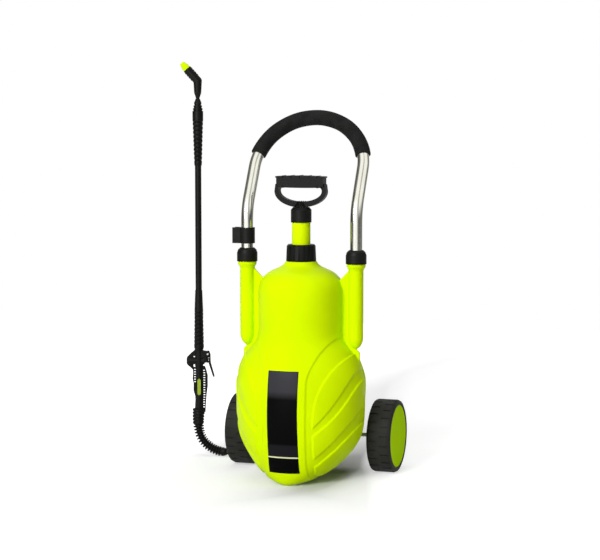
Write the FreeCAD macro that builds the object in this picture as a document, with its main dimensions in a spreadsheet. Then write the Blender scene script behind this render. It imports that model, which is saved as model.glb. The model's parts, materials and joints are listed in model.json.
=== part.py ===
import FreeCAD, Part
import math
import os
import Sketcher

V = FreeCAD.Vector
UP = V(0, 0, 1)
RIGHT = V(1, 0, 0)
BACK = V(0, 1, 0)
WHOLE_TURN = 360

# Driving dimensions in millimetres. The origin is the floor point under the pump, -Y is the front.
SIZES = {
    # tank body
    "tank_wall": 4.5,
    "relief_depth": 2.5,
    "relief_rear_end": 18,
    "neck_radius": 27.5,
    "neck_bore": 24.5,
    "neck_top": 469,
    # handle sockets beside the trunk
    "leg_spread": 117,
    "socket_radius": 15,
    "socket_mouth_radius": 19.4,
    "socket_tip": 271,
    "socket_floor": 289,
    "socket_flare": 431,
    "socket_shoulder": 443.8,
    "socket_top": 462,
    "socket_thread_radius": 16.8,
    "tip_length": 22,
    "web_thickness": 5,
    # axle tunnel and the bosses on the rear
    "axle_radius": 5,
    "axle_half": 172,
    "axle_back": 103.3,
    "tunnel_half": 88,
    "tunnel_radius": 15,
    "tunnel_clearance": 0.1,
    "outlet_side": 40,
    "outlet_level": 165,
    "outlet_boss_radius": 13,
    "outlet_boss_end": 108,
    "outlet_bore": 6,
    "relief_back": 62,
    "relief_boss_radius": 10,
    "relief_boss_top": 440,
    "relief_bore": 5,
    # wheels
    "wheel_radius": 76,
    "wheel_inner": 130,
    "wheel_width": 50.6,
    "tyre_inner": 60,
    "tyre_shoulder": 6,
    "tread_depth": 2,
    "tread_slots": 24,
    "tread_slot_width": 3.2,
    "tread_slot_length": 18,
    "tread_margin": 3,
    "disc_radius": 65.2,
    "disc_recess": 4,
    "hub_barrel_radius": 13,
    "hub_web": 5,
    "hub_ribs": 6,
    "running_gap": 0.08,
    "washer_radius": 10,
    "washer_thickness": 1.5,
    "clip_radius": 8,
    # telescopic transport handle
    "tube_radius": 12.5,
    "tube_wall": 1.5,
    "leg_foot": 291.5,
    "bend_level": 553,
    "bend_radius": 100,
    "lean_angle": 29.5,
    "arch_rise": 96.5,
    "foam_radius": 16,
    "foam_end_angle": 14.3,
    "foam_clearance": 0.2,
    "plug_depth": 14,
    "clip_level": 481.2,
    "clip_height": 32.5,
    "clip_ring_radius": 16,
    "jaw_radius": 7,
    "jaw_offset": 22,
    "jaw_reach": 7,
    "jaw_half": 10.5,
    "jaw_mouth": 11,
    # clamping collars
    "collar_radius": 21.2,
    "collar_height": 28,
    "collar_top_radius": 14.5,
    "seat_gap": 0.3,
    "collet_height": 6,
    # pump
    "nut_radius": 30.9,
    "nut_top_radius": 29.6,
    "nut_height": 34,
    "nut_grooves": 18,
    "groove_radius": 1.5,
    "gasket_thickness": 2,
    "flange_thickness": 4,
    "barrel_radius": 19,
    "barrel_wall": 2.5,
    "barrel_foot": 175,
    "barrel_top": 545,
    "cap_foot": 526.5,
    "cap_top": 557.2,
    "cap_radius": 21.2,
    "rod_radius": 5,
    "bush_radius": 8,
    "piston_level": 190,
    "piston_height": 12,
    "seal_height": 5,
    "seal_depth": 3.4,
    "seat_holes": 6,
    "bow_foot": 558,
    "bow_half": 55,
    "bow_shoulder": 590,
    "bow_arm": 9,
    "bow_depth": 16,
    "bow_head": 604.6,
    "finger_floor": 569,
    "grip_foot": 600,
    "grip_top": 622,
    "grip_half": 50,
    "grip_depth": 24,
    "grip_crown": 1.6,
    # lance that stands beside the cart
    "lance_x": -285.3,
    "lance_y": 158,
    "lance_yaw": 18,
    "shank_foot": 92,
    "shank_radius": 8.2,
    "valve_level": 207.5,
    "valve_foot": 196,
    "valve_top": 232,
    "valve_core": 9,
    "valve_barrel": 8,
    "valve_reach": 14,
    "cap_length": 13,
    "lower_sleeve_top": 363,
    "lower_sleeve_radius": 10.9,
    "lance_tube_radius": 6.9,
    "lance_tube_bore": 4.5,
    "upper_sleeve_foot": 634,
    "upper_sleeve_radius": 11.6,
    "upper_sleeve_wide": 738,
    "swivel_level": 780,
    "swivel_radius": 3.8,
    "stub_radius": 3,
    "elbow_level": 817,
    "elbow_radius": 9.2,
    "nozzle_angle": 42,
    "nozzle_arm": 34,
    "nozzle_tip_length": 17,
    "trigger_side": 19,
    "trigger_level": 223,
    "trigger_reach": 32,
    "trigger_foot": 172,
    "trigger_depth": 9,
    "pin_radius": 2,
    "wing_depth": 5,
    "window_pitch": 5.4,
    "window_height": 2.6,
    "window_width": 4,
    "badge_width": 7.2,
    "badge_length": 35.5,
    # hose and its ribbed strain relief
    "hose_radius": 5.5,
    "bend_yaw": 2,
    "sleeve_length": 121,
    "sleeve_core": 7.2,
    "sleeve_fin": 12.2,
    "sleeve_fin_end": 10.5,
    "sleeve_ribs": 22,
    "coil_x": -72,
    "coil_y": 222,
    "coil_radius": 60.5,
    "coil_pitch": 11.6,
    "coil_turns": 4,
}

# Tank stations: level, half width, centre in Y, depth to the front and depth to the rear.
MEASURES = ("level", "half", "centre", "front", "rear")
STATIONS = {
    "foot": (0, 20, -50, 51, 54),
    "toe": (6, 42, -46, 63, 64),
    "keel": (22, 73, -28, 88, 66),
    "bilge": (50, 103, -8, 113, 74),
    "flank": (84, 125, 0, 123, 84),
    "belly": (130, 134, 0, 124, 95),
    "girth": (170, 135, 0, 121.5, 99),
    "hip": (206, 135.5, 0, 117, 100),
    "side": (240, 125.5, 0, 110, 97),
    "waist": (265, 112, 0, 101, 93),
    "throat": (293, 91, 0, 90.5, 88.5),
    "trunk": (330, 88, 0, 88, 88),
}

# Round stations above them: level and radius.
ROUND_STATIONS = {
    "column": (359, 88),
    "brow": (388, 88),
    "shoulder": (403, 84.8),
    "slope": (416, 76.3),
    "crown": (427.5, 60.5),
    "saddle": (434.5, 45),
    "collar": (440, 36.5),
    "root": (447, 32),
}


class Size:
    """A number that keeps the sheet formula it comes from."""

    def __init__(self, value, formula):
        self.value = float(value)
        self.formula = formula

    def joined(self, other, sign, value):
        return Size(value, "(%s %s %s)" % (self.formula, sign, formula_of(other)))

    def __float__(self):
        return self.value

    def __add__(self, other):
        return self.joined(other, "+", self.value + float(other))

    def __radd__(self, other):
        return as_size(other) + self

    def __sub__(self, other):
        return self.joined(other, "-", self.value - float(other))

    def __rsub__(self, other):
        return as_size(other) - self

    def __mul__(self, other):
        return self.joined(other, "*", self.value * float(other))

    def __rmul__(self, other):
        return as_size(other) * self

    def __truediv__(self, other):
        return self.joined(other, "/", self.value / float(other))

    def __neg__(self):
        return as_size(0) - self


def formula_of(number):
    return number.formula if isinstance(number, Size) else repr(float(number))


def as_size(number):
    return number if isinstance(number, Size) else Size(number, repr(float(number)))


def cosine(degrees):
    return Size(math.cos(math.radians(float(degrees))), "cos(%s * 1 deg)" % formula_of(degrees))


def sine(degrees):
    return Size(math.sin(math.radians(float(degrees))), "sin(%s * 1 deg)" % formula_of(degrees))


doc = FreeCAD.newDocument("SprayerCart")
sheet = doc.addObject("Spreadsheet::Sheet", "Sizes")


class Dimensions:
    """Every named size, as an attribute."""


s = Dimensions()


def fill_sheet():
    """One row per size: its name, its value in the aliased cell."""
    rows = list(SIZES.items())
    for station, numbers in STATIONS.items():
        rows += [("%s_%s" % (station, measure), n) for measure, n in zip(MEASURES, numbers)]
    for station, (level, radius) in ROUND_STATIONS.items():
        rows += [(station + "_level", level), (station + "_half", radius)]
    for row, (name, number) in enumerate(rows, 1):
        sheet.set("A%d" % row, name)
        sheet.set("B%d" % row, str(number))
        sheet.setAlias("B%d" % row, name)
    doc.recompute()
    for name, number in rows:
        setattr(s, name, Size(sheet.get(name), "Sizes." + name))


fill_sheet()


# Helpers for sketched bodies

def turned(axis, angle):
    return FreeCAD.Rotation(axis, float(angle))


def place(thing, at, turn=None):
    """Set the turn, then bind the position to the sheet."""
    thing.Placement = FreeCAD.Placement(V(*[float(c) for c in at]), turn or FreeCAD.Rotation())
    for letter, coordinate in zip("xyz", at):
        if isinstance(coordinate, Size):
            thing.setExpression("Placement.Base." + letter, coordinate.formula)


def new_body(name, at=(0, 0, 0), turn=None):
    body = doc.addObject("PartDesign::Body", name)
    body.Label = name
    place(body, at, turn)
    return body


def new_sketch(body, plane_role):
    plane = next(f for f in body.Origin.OriginFeatures if f.Role == plane_role)
    sketch = body.newObject("Sketcher::SketchObject", body.Name + "_sketch")
    sketch.AttachmentSupport = (plane, [""])
    sketch.MapMode = "FlatFace"
    return sketch


def pin_point(sketch, edge, end, x, y):
    """Hold one sketch point at sheet-bound coordinates."""
    for kind, size, axis in (("DistanceX", x, -2), ("DistanceY", y, -1)):
        if float(size) == 0:
            sketch.addConstraint(Sketcher.Constraint("PointOnObject", edge, end, axis))
            continue
        index = sketch.addConstraint(Sketcher.Constraint(kind, -1, 1, edge, end, float(size)))
        if isinstance(size, Size):
            sketch.setExpression("Constraints[%d]" % index, size.formula)


def outline(sketch, points):
    """Closed outline through the points."""
    first = sketch.GeometryCount
    count = len(points)
    flat = [V(float(x), float(y), 0) for x, y in points]
    for i in range(count):
        sketch.addGeometry(Part.LineSegment(flat[i], flat[(i + 1) % count]), False)
    for i in range(count):
        after = first + (i + 1) % count
        sketch.addConstraint(Sketcher.Constraint("Coincident", first + i, 2, after, 1))
    for i, (x, y) in enumerate(points):
        pin_point(sketch, first + i, 1, x, y)


def disc(sketch, x, y, radius):
    edge = sketch.addGeometry(Part.Circle(V(float(x), float(y), 0), UP, float(radius)), False)
    pin_point(sketch, edge, 3, x, y)
    index = sketch.addConstraint(Sketcher.Constraint("Radius", edge, float(radius)))
    if isinstance(radius, Size):
        sketch.setExpression("Constraints[%d]" % index, radius.formula)


def revolved(name, profile, at=(0, 0, 0), turn=None):
    """Body of revolution: the profile holds (radius, height) corners."""
    body = new_body(name, at, turn)
    sketch = new_sketch(body, "XZ_Plane")
    outline(sketch, profile)
    feature = body.newObject("PartDesign::Revolution", name + "_turned")
    feature.Profile = sketch
    feature.ReferenceAxis = (sketch, ["V_Axis"])
    feature.Angle = WHOLE_TURN
    return body


def tube(name, outer, inner, low, high, at=(0, 0, 0), turn=None):
    return revolved(name, [(inner, low), (outer, low), (outer, high), (inner, high)], at, turn)


def padded(name, profile, depth, at=(0, 0, 0), turn=None, plane="XZ_Plane"):
    """Plate of the given depth, half to each side of its sketch plane."""
    body = new_body(name, at, turn)
    sketch = new_sketch(body, plane)
    outline(sketch, profile)
    feature = body.newObject("PartDesign::Pad", name + "_pad")
    feature.Profile = sketch
    feature.Midplane = True
    feature.Length = float(depth)
    if isinstance(depth, Size):
        feature.setExpression("Length", depth.formula)
    return body


def cut_through(body, sketch):
    """Cut the sketch right through, to both sides of its plane."""
    pocket = body.newObject("PartDesign::Pocket", body.Name + "_pocket")
    pocket.Profile = sketch
    pocket.Type = 1
    pocket.Midplane = True
    return pocket


def around(body, feature, sketch, copies):
    """Repeat a feature about the body's axis."""
    pattern = body.newObject("PartDesign::PolarPattern", body.Name + "_ring")
    pattern.Originals = [feature]
    pattern.Axis = (sketch, ["N_Axis"])
    pattern.Angle = WHOLE_TURN
    pattern.Occurrences = int(float(copies))
    pattern.setExpression("Occurrences", copies.formula)
    body.Tip = pattern


def shaped(name, shape, at=(0, 0, 0), turn=None):
    """Piece whose shape is worked out here from the sheet's sizes."""
    piece = doc.addObject("Part::Feature", name)
    piece.Label = name
    piece.Shape = shape
    place(piece, at, turn)
    return piece


# Helpers for paths and free shapes

def curve(points, closed=False, start=None, end=None):
    line = Part.BSplineCurve()
    if start is None:
        line.interpolate(Points=points, PeriodicFlag=closed)
    else:
        line.interpolate(Points=points, InitialTangent=start, FinalTangent=end)
    return line.toShape()


def polygon(points):
    return [Part.LineSegment(a, b).toShape() for a, b in zip(points, points[1:])]


def solid_prism(edges, direction):
    return Part.Face(Part.Wire(edges)).extrude(direction)


def drum(centre, axis, radius, length):
    return Part.makeCylinder(float(radius), float(length), centre, axis)


def arc_between(start, corner, end):
    """Arc that leaves start towards the corner and arrives at end from it."""
    middle = (start + end) * 0.5
    half_chord = (end - start).Length / 2
    angle = math.acos(min(1.0, half_chord / (corner - start).Length))
    rise = half_chord * math.tan(angle / 2)
    return Part.Arc(start, middle + (corner - middle).normalize() * rise, end).toShape()


def route_wire(points):
    """Straight runs joined by tangent arcs, as large as their two runs allow."""
    edges = []
    last = points[0]
    for before, corner, after in zip(points, points[1:], points[2:]):
        inward = (before - corner).normalize()
        onward = (after - corner).normalize()
        tangent = 0.45 * min((before - corner).Length, (after - corner).Length)
        start = corner + inward * tangent
        end = corner + onward * tangent
        edges.append(Part.LineSegment(last, start).toShape())
        edges.append(arc_between(start, corner, end))
        last = end
    edges.append(Part.LineSegment(last, points[-1]).toShape())
    return Part.Wire(edges)


def biarc(start, leaving, end, arriving):
    """Two arcs that join two points with the given headings."""
    chord = end - start
    both = leaving + arriving
    spread = 2 * (1 - leaving.dot(arriving))
    along = chord.dot(both)
    reach = (math.sqrt(along * along + spread * chord.dot(chord)) - along) / spread
    first = start + leaving * reach
    second = end - arriving * reach
    joint = (first + second) * 0.5
    return [arc_between(start, first, joint), arc_between(joint, second, end)]


def wound(point, heading, turns):
    """Edges through the quarter turns of a winding, given its point and heading at each turn."""
    quarters = int(float(turns) * 4)
    marks = [float(turns) * i / quarters for i in range(quarters + 1)]
    edges = []
    for before, after in zip(marks, marks[1:]):
        edges += biarc(point(before), heading(before), point(after), heading(after))
    return edges


def pipe(wire, radius):
    """Round solid along a wire that starts straight."""
    start = wire.Edges[0]
    origin = start.valueAt(start.FirstParameter)
    heading = start.tangentAt(start.FirstParameter)
    ring = Part.Wire(Part.Circle(origin, heading, float(radius)).toShape())
    return wire.makePipeShell([ring], True, False)


def report_hose(name, solid, wire):
    """Print the hose's length, its volume against section times length, and its arc radii."""
    section = math.pi * float(s.hose_radius) ** 2
    ratio = solid.Volume / (section * wire.Length)
    radii = [edge.Curve.Radius for edge in wire.Edges if hasattr(edge.Curve, "Radius")]
    print("%s length %.0f mm, volume ratio %.4f, tightest radius %.1f mm of %s"
          % (name, wire.Length, ratio, min(radii), [round(r) for r in radii]))


# Tank

def stations(inset):
    """The tank's sections, moved inwards along the side's normal."""
    rows = [[float(getattr(s, "%s_%s" % (name, m))) for m in MEASURES] for name in STATIONS]
    for name in ROUND_STATIONS:
        radius = float(getattr(s, name + "_half"))
        rows.append([float(getattr(s, name + "_level")), radius, 0, radius, radius])
    moved = []
    for i, (level, half, centre, front, rear) in enumerate(rows):
        below = rows[max(i - 1, 0)]
        above = rows[min(i + 1, len(rows) - 1)]
        rise = above[0] - below[0]
        spread = above[1] - below[1]
        length = math.hypot(rise, spread)
        inward = inset * rise / length
        lift = inset * spread / length
        if i == 0:
            inward, lift = 0, inset
        if i == len(rows) - 1:
            inward, lift = inset * 1.75, -inset
        moved.append((level + lift, half - inward, centre, front - inward, rear - inward))
    return moved


def section_wire(level, half, centre, front, rear):
    """Two half ellipses of one width, as one closed smooth curve that starts at the rear."""
    steps = 16
    points = []
    for i in range(steps):
        angle = 2 * math.pi * i / steps
        depth = rear if math.cos(angle) > 0 else front
        points.append(V(half * math.sin(angle), centre + depth * math.cos(angle), level))
    return Part.Wire(curve(points, closed=True))


def tank_form(inset):
    """Closed form of the bottle up to the neck, moved inwards by the inset."""
    return Part.makeLoft([section_wire(*row) for row in stations(inset)], True, False)


def leaf_outlines(side):
    """Border of the sunken field and the three raised leaves on one side, seen from the front."""

    def flat(*pairs):
        return [V(side * x, 0, z) for x, z in pairs]

    outer = 150
    border = [curve(flat((96, 302), (70, 276), (56, 250), (47, 227), (44.5, 200)))]
    border += polygon(flat((44.5, 200), (44.5, 45), (46, 9), (outer, 9), (outer, 302), (96, 302)))
    upper = [curve(flat((59, 121), (59.5, 146), (65, 180), (77, 212), (95, 240), (118, 264)))]
    upper += polygon(flat((118, 264), (outer, 288), (outer, 258), (130, 238)))
    upper.append(curve(flat((130, 238), (121, 215), (109, 190), (91, 160), (59, 121))))
    middle = [curve(flat((59, 105), (79, 122), (100, 145), (122, 181), (136, 212)))]
    middle += polygon(flat((136, 212), (outer, 236), (outer, 176), (135, 153)))
    middle.append(curve(flat((135, 153), (115, 118), (90, 87), (60, 57))))
    middle += polygon(flat((60, 57), (59, 105)))
    lower = [curve(flat((59, 39), (88, 65), (113, 92), (132, 117)))]
    lower += polygon(flat((132, 117), (outer, 142), (outer, 13), (58, 13), (59, 39)))
    return border, (upper, middle, lower)


def sunken_fields(low_form):
    """What the relief takes away from the full form, on both sides of the front."""
    start = V(0, -200, 0)
    reach = V(0, 200 + float(s.relief_rear_end), 0)
    fields = []
    for side in (-1, 1):
        border, leaves = leaf_outlines(side)
        field = solid_prism(border, reach)
        for leaf in leaves:
            field = field.cut(solid_prism(leaf, reach))
        field.translate(start)
        fields.append(field.cut(low_form))
    return fields


def socket_outside(side):
    """Blind socket for one handle leg: rounded tip, barrel, flare and threaded mouth."""
    x = side * float(s.leg_spread)
    radius = float(s.socket_radius)
    tip = float(s.socket_tip)
    shoulder = float(s.socket_shoulder)
    flare = float(s.socket_flare)
    mouth = float(s.socket_mouth_radius)
    thread = float(s.socket_thread_radius)
    end = tip + float(s.tip_length)
    nose = curve([V(0, 0, tip), V(radius * 0.75, 0, tip + (end - tip) * 0.36), V(radius, 0, end)],
                 start=V(1, 0, 0), end=V(0, 0, 1))
    rest = polygon([V(radius, 0, end), V(radius, 0, flare), V(mouth, 0, flare + (shoulder - flare) * 0.6),
                    V(mouth, 0, shoulder), V(thread, 0, shoulder), V(thread, 0, float(s.socket_top)),
                    V(0, 0, float(s.socket_top)), V(0, 0, tip)])
    solid = Part.Face(Part.Wire([nose] + rest)).revolve(V(0, 0, 0), UP, WHOLE_TURN)
    solid.translate(V(x, 0, 0))
    return solid


def socket_web(side):
    """Thin web that joins the socket to the trunk and runs out on the hip."""
    spread = float(s.leg_spread)
    trunk = float(s.trunk_half)
    flare = float(s.socket_flare)
    tip = float(s.socket_tip)
    side_level = float(s.side_level)
    outer = spread + 8.5
    corners = [(trunk - 18, side_level - 10), (trunk - 18, flare - 26), (trunk - 5, flare - 20),
               (trunk + 4, flare - 11), (spread - 13, flare + 2), (spread, flare + 2),
               (spread, tip), (outer, tip - 8), (outer, side_level + 4), (outer - 15, side_level - 10)]
    points = [V(side * x, 0, z) for x, z in corners]
    web = solid_prism(polygon(points + points[:1]), V(0, float(s.web_thickness), 0))
    web.translate(V(0, -float(s.web_thickness) * 0.3, 0))
    return web


def axle_tunnel():
    """Moulded tunnel across the rear that carries the axle."""
    back = float(s.axle_back)
    level = float(s.wheel_radius)
    radius = float(s.tunnel_radius)
    half = float(s.tunnel_half)
    lean = math.radians(80)
    top = V(-half, back + radius * math.cos(lean), level + radius * math.sin(lean))
    low = V(-half, back + radius * math.cos(lean), level - radius * math.sin(lean))
    rear = V(-half, back + radius, level)
    corners = [top, V(-half, back - 46, level + 40), V(-half, back - 46, level - 30), low]
    edges = polygon(corners) + [Part.Arc(low, rear, top).toShape()]
    return solid_prism(edges, V(2 * half, 0, 0))


def build_tank():
    """Blow-moulded pressure tank with its sockets, axle tunnel and bosses in one piece."""
    outer = tank_form(0)
    low_form = tank_form(float(s.relief_depth))
    for field in sunken_fields(low_form):
        outer = outer.cut(field)
    neck_foot = s.root_level - 8
    neck = drum(V(0, 0, float(neck_foot)), UP, s.neck_radius, s.neck_top - neck_foot)
    outlet_foot = V(float(s.outlet_side), float(s.outlet_boss_end), float(s.outlet_level))
    outlet = drum(outlet_foot, -BACK, s.outlet_boss_radius, 30)
    relief_foot = V(0, float(s.relief_back), float(s.relief_boss_top))
    relief = drum(relief_foot, -UP, s.relief_boss_radius, 30)
    added = [neck, outlet, relief, axle_tunnel()]
    added += [socket_outside(side) for side in (-1, 1)]
    added += [socket_web(side) for side in (-1, 1)]
    outer = outer.multiFuse(added)
    cavity = tank_form(float(s.tank_wall))
    bores = [
        drum(V(0, 0, float(s.brow_level)), UP, s.neck_bore, 200),
        drum(outlet_foot + BACK, -BACK, s.outlet_bore, 40),
        drum(relief_foot + UP, -UP, s.relief_bore, 40),
        drum(V(-200, float(s.axle_back), float(s.wheel_radius)), RIGHT,
             s.axle_radius + s.tunnel_clearance, 400),
    ]
    for side in (-1, 1):
        foot = V(side * float(s.leg_spread), 0, float(s.socket_floor))
        bores.append(drum(foot, UP, s.tube_radius + 0.4, 250))
    shell = outer.cut(cavity)
    for bore in bores:
        shell = shell.cut(bore)
    shaped("tank", shell)


# Wheels and axle

def toward(side):
    """Turn that lays a body's axis along X, pointing outwards on the given side."""
    return turned(BACK, 90 * side)


def wheel_at(side):
    return (s.wheel_inner * side, s.axle_back, s.wheel_radius)


def tyre(name, side):
    """Hard tyre with a recessed outer face and two staggered rows of tread slots."""
    rim = s.disc_radius + 0.3
    face = s.wheel_width - s.disc_recess
    bevel = s.tyre_shoulder * 0.3
    radius = s.wheel_radius
    width = s.wheel_width
    profile = [(s.tyre_inner, 3), (rim, 0), (radius - s.tyre_shoulder, 0), (radius - bevel, bevel),
               (radius, s.tyre_shoulder), (radius, width - s.tyre_shoulder),
               (radius - bevel, width - bevel), (radius - s.tyre_shoulder, width),
               (rim, width), (rim, face), (s.tyre_inner, face)]
    body = revolved(name, profile, wheel_at(side), toward(side))
    half_slot = s.tread_slot_width / 2
    length = s.tread_slot_length
    margin = s.tread_margin
    pitch = WHOLE_TURN / float(s.tread_slots)
    for end, turn in ((margin + length, 0), (width - margin, pitch / 2)):
        sketch = new_sketch(body, "XY_Plane")
        root = radius - s.tread_depth
        outline(sketch, [(root, -half_slot), (radius + 1, -half_slot), (radius + 1, half_slot),
                         (root, half_slot)])
        sketch.AttachmentOffset = FreeCAD.Placement(V(0, 0, float(end)), turned(UP, turn))
        pocket = body.newObject("PartDesign::Pocket", name + "_slot")
        pocket.Profile = sketch
        pocket.Length = float(length)
        pocket.setExpression("Length", length.formula)
        around(body, pocket, sketch, s.tread_slots)


def wheel_hub(name, side):
    """Hub with a barrel on the axle, a web, a rim and radial ribs on the inner side."""
    rim = s.tyre_inner - 0.1
    rim_wall = 4
    bore = s.axle_radius + s.running_gap
    barrel = s.hub_barrel_radius
    face = s.wheel_width - s.disc_recess - 0.3
    web = face - 12
    barrel_end = s.axle_half - 4 - s.wheel_inner
    profile = [(bore, -1), (barrel, -1), (barrel, web), (rim - rim_wall, web), (rim - rim_wall, 4),
               (rim, 4), (rim, face), (rim - rim_wall, face), (rim - rim_wall, web + s.hub_web),
               (barrel, web + s.hub_web), (barrel, barrel_end), (bore, barrel_end)]
    body = revolved(name, profile, wheel_at(side), toward(side))
    sketch = new_sketch(body, "XY_Plane")
    rib = 1.5
    outline(sketch, [(barrel - 1, -rib), (rim - rim_wall + 0.5, -rib), (rim - rim_wall + 0.5, rib),
                     (barrel - 1, rib)])
    sketch.AttachmentOffset = FreeCAD.Placement(V(0, 0, 8), FreeCAD.Rotation())
    pad = body.newObject("PartDesign::Pad", name + "_rib")
    pad.Profile = sketch
    pad.Length = float(web) - 7
    pad.setExpression("Length", (web - 7).formula)
    around(body, pad, sketch, s.hub_ribs)


def hubcap(name, side):
    """Slightly domed disc that snaps into the tyre's outer recess."""
    seat = s.wheel_width - s.disc_recess + 0.2
    top = s.wheel_width - 0.6
    profile = [(0, seat), (s.disc_radius, seat), (s.disc_radius, top - 1.2),
               (s.disc_radius - 1.2, top - 0.4), (0, top)]
    revolved(name, profile, wheel_at(side), toward(side))


def rings(name, outer, inner, length, places, at=(0, 0, 0)):
    """A group of equal rings on one X axis, each a separate solid."""
    solids = [drum(V(float(x), 0, 0), RIGHT, outer, length).cut(drum(V(float(x) - 1, 0, 0), RIGHT, inner, 50))
              for x in places]
    shaped(name, Part.makeCompound(solids), at)


def build_wheels():
    for name, side in (("left", -1), ("right", 1)):
        tyre("tyre_" + name, side)
        wheel_hub("wheel_hub_" + name, side)
        hubcap("hubcap_" + name, side)
    end = 1.5
    length = s.axle_half * 2
    profile = [(0, 0), (s.axle_radius - end, 0), (s.axle_radius, end), (s.axle_radius, length - end),
               (s.axle_radius - end, length), (0, length)]
    revolved("axle", profile, (-s.axle_half, s.axle_back, s.wheel_radius), toward(1))
    thick = float(s.washer_thickness)
    hub_inner = float(s.wheel_inner) - 1
    hub_outer = float(s.axle_half) - 4
    gap = 0.2
    centre = (0, s.axle_back, s.wheel_radius)
    inner = [hub_inner - gap - thick, hub_outer + gap]
    washers = inner + [-x - thick for x in inner]
    rings("wheel_washers", s.washer_radius, s.axle_radius + 0.1, thick, washers, centre)
    nearer = [hub_inner - 2 * gap - 2 * thick, hub_outer + 2 * gap + thick]
    clips = nearer + [-x - thick for x in nearer]
    rings("axle_clips", s.clip_radius, s.axle_radius + 0.05, thick, clips, centre)


# Transport handle

def handle_path(foot):
    """Leg, bend, leaning straight and half of the arch, then the same back down."""
    spread = float(s.leg_spread)
    lean = math.radians(float(s.lean_angle))
    tangent = float(s.bend_radius) * math.tan(lean / 2)
    bend = float(s.bend_level)
    slope = V(0, math.sin(lean), math.cos(lean))
    corner = V(spread, 0, bend)
    bend_start = corner - UP * tangent
    bend_end = corner + slope * tangent
    arch_end = corner + slope * float(s.arch_rise)
    crown = V(0, 0, bend) + slope * (float(s.arch_rise) + spread)

    def mirrored(point):
        return V(-point.x, point.y, point.z)

    right = [Part.LineSegment(V(spread, 0, foot), bend_start).toShape(),
             arc_between(bend_start, corner, bend_end),
             Part.LineSegment(bend_end, arch_end).toShape()]
    left = [Part.LineSegment(mirrored(arch_end), mirrored(bend_end)).toShape(),
            arc_between(mirrored(bend_end), mirrored(corner), mirrored(bend_start)),
            Part.LineSegment(mirrored(bend_start), V(-spread, 0, foot)).toShape()]
    arch = Part.Arc(arch_end, crown, mirrored(arch_end)).toShape()
    return Part.Wire(right + [arch] + left), slope


def foam_path():
    """The part of the arch that the foam covers."""
    spread = float(s.leg_spread)
    slope = handle_path(float(s.leg_foot))[1]
    centre = V(0, 0, float(s.bend_level)) + slope * float(s.arch_rise)
    start = math.radians(float(s.foam_end_angle))

    def on_arch(angle):
        return centre + RIGHT * (spread * math.cos(angle)) + slope * (spread * math.sin(angle))

    ends = [on_arch(angle) for angle in (start, math.pi / 2, math.pi - start)]
    return Part.Wire(Part.Arc(*ends).toShape())


def build_handle():
    foot = float(s.leg_foot)
    outer = pipe(handle_path(foot)[0], s.tube_radius)
    inner = pipe(handle_path(foot - 1)[0], s.tube_radius - s.tube_wall)
    shaped("handle_tube", outer.cut(inner))
    arch = foam_path()
    foam = pipe(arch, s.foam_radius).cut(pipe(arch, s.tube_radius + s.foam_clearance))
    shaped("foam_grip", foam)
    plugs = []
    for side in (-1, 1):
        foot_point = V(side * float(s.leg_spread), 0, foot - 2)
        rim = drum(foot_point, UP, s.tube_radius - 0.2, 2)
        stem = drum(foot_point, UP, s.tube_radius - s.tube_wall - 0.1, s.plug_depth)
        plugs.append(rim.fuse(stem))
    shaped("tube_plugs", Part.makeCompound(plugs))


def build_lance_clip():
    """Ring on the left tube with an open snap jaw that holds the lance."""
    height = float(s.clip_height)
    jaw = V(-float(s.jaw_offset), 0, 0)
    half = float(s.jaw_half)
    reach = float(s.jaw_reach)
    block = Part.makeBox(float(s.jaw_offset) + reach, 2 * half, height, V(jaw.x - reach, -half, 0))
    ring = drum(V(0, 0, 0), UP, s.clip_ring_radius, height)
    mouth_half = float(s.jaw_mouth) / 2
    mouth = Part.makeBox(reach + 1, 2 * mouth_half, height, V(jaw.x - reach - 1, -mouth_half, 0))
    clip = ring.fuse(block)
    clip = clip.cut(drum(V(0, 0, 0), UP, s.tube_radius + 0.15, height))
    clip = clip.cut(drum(jaw, UP, s.jaw_radius, height)).cut(mouth)
    shaped("lance_clip", clip.removeSplitter(), (-s.leg_spread, 0, s.clip_level))


# Collars that clamp the legs

def build_collars():
    foot = s.socket_shoulder + s.seat_gap
    height = s.collar_height
    radius = s.collar_radius
    thread = s.socket_thread_radius + s.seat_gap
    room = s.socket_top - foot + s.collet_height + 2 * s.seat_gap
    bore = s.tube_radius + s.seat_gap
    profile = [(thread, 0), (radius, 0), (radius, height * 0.62), (radius * 0.5 + s.collar_top_radius * 0.5 + 1,
               height * 0.86), (s.collar_top_radius, height), (bore, height), (bore, room), (thread, room)]
    for name, side in (("left", -1), ("right", 1)):
        revolved("collar_" + name, profile, (s.leg_spread * side, 0, foot))
    collets = []
    for side in (-1, 1):
        centre = V(side * float(s.leg_spread), 0, float(s.socket_top) + 0.1)
        ring = Part.makeCone(float(s.socket_thread_radius), float(s.socket_thread_radius) - 2,
                             float(s.collet_height), centre, UP)
        ring = ring.cut(drum(centre, UP, s.tube_radius + 0.25, s.collet_height))
        slit = Part.makeBox(20, 1.6, 20, centre + V(0, -0.8, -1))
        collets.append(ring.cut(slit))
    shaped("collets", Part.makeCompound(collets))


# Pump

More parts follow.
